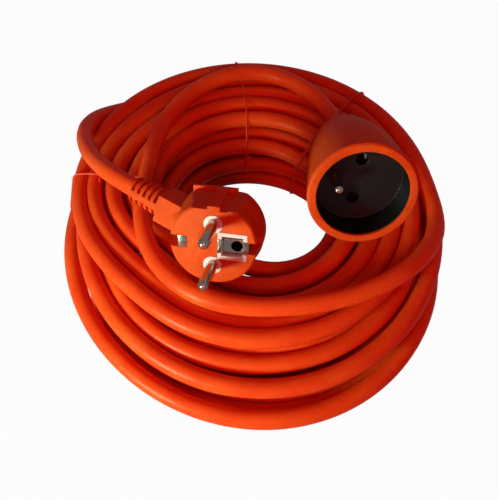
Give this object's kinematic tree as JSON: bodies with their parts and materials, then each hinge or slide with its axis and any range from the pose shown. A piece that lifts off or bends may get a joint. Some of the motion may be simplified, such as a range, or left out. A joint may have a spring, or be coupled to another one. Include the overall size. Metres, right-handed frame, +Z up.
{
  "type": "extension cord",
  "caption": "Round earthed extension cord, coiled and tied, with an angled two-pin plug and a single round coupler socket with an earth pin.",
  "frame": {"origin": "centre of the bounding box's base, on the surface that the coil lies on", "axes": "+Z up, along the coil's axis; -Y towards the side where the plug's pins and the socket's mouth face; +X to their right"},
  "size_m": [0.1933, 0.2058, 0.0944],
  "materials": {
    "cord_pvc": "satin orange-red PVC jacket",
    "tie_pvc": "satin orange PVC-covered strip",
    "moulded_pvc": "orange-red moulded PVC, lightly grained",
    "white_insulator": "white moulded thermoplastic",
    "black_insulator": "black moulded thermoplastic, satin",
    "nickel": "nickel-plated brass",
    "spring_steel": "bright spring wire",
    "core_brown": "brown core insulation",
    "core_blue": "blue core insulation",
    "core_green_yellow": "green and yellow core insulation"
  },
  "bodies": {
    "cord_set": {"cord_coil": "cord_pvc", "plug_lead": "cord_pvc", "socket_lead": "cord_pvc", "tie_left": "tie_pvc", "tie_back": "tie_pvc", "tie_right": "tie_pvc", "plug_body": "moulded_pvc", "plug_strain_relief": "moulded_pvc", "plug_pin_carrier": "white_insulator", "plug_pin_live": "nickel", "plug_pin_neutral": "nickel", "plug_earth_socket": "nickel", "plug_earth_plate": "nickel", "plug_side_contact_left": "nickel", "plug_side_contact_right": "nickel", "plug_core_live": "core_brown", "plug_core_neutral": "core_blue", "plug_core_earth": "core_green_yellow", "socket_shell": "moulded_pvc", "socket_insert": "black_insulator", "socket_carrier": "black_insulator", "socket_contact_live": "nickel", "socket_contact_neutral": "nickel", "socket_earth_pin": "nickel", "shutter_spring": "spring_steel", "socket_core_live": "core_brown", "socket_core_neutral": "core_blue", "socket_core_earth": "core_green_yellow"},
    "shutter": {"socket_shutter": "black_insulator"}
  },
  "joints": [
    {"name": "shutter_slide", "type": "slide", "parent": "cord_set", "child": "shutter", "axis": [0.9912, -0.0311, -0.1288], "range_m": [0, 0.0062], "stiffness_N_per_m": 200, "springref_m": -0.004, "deforming": ["shutter_spring"]}
  ]
}
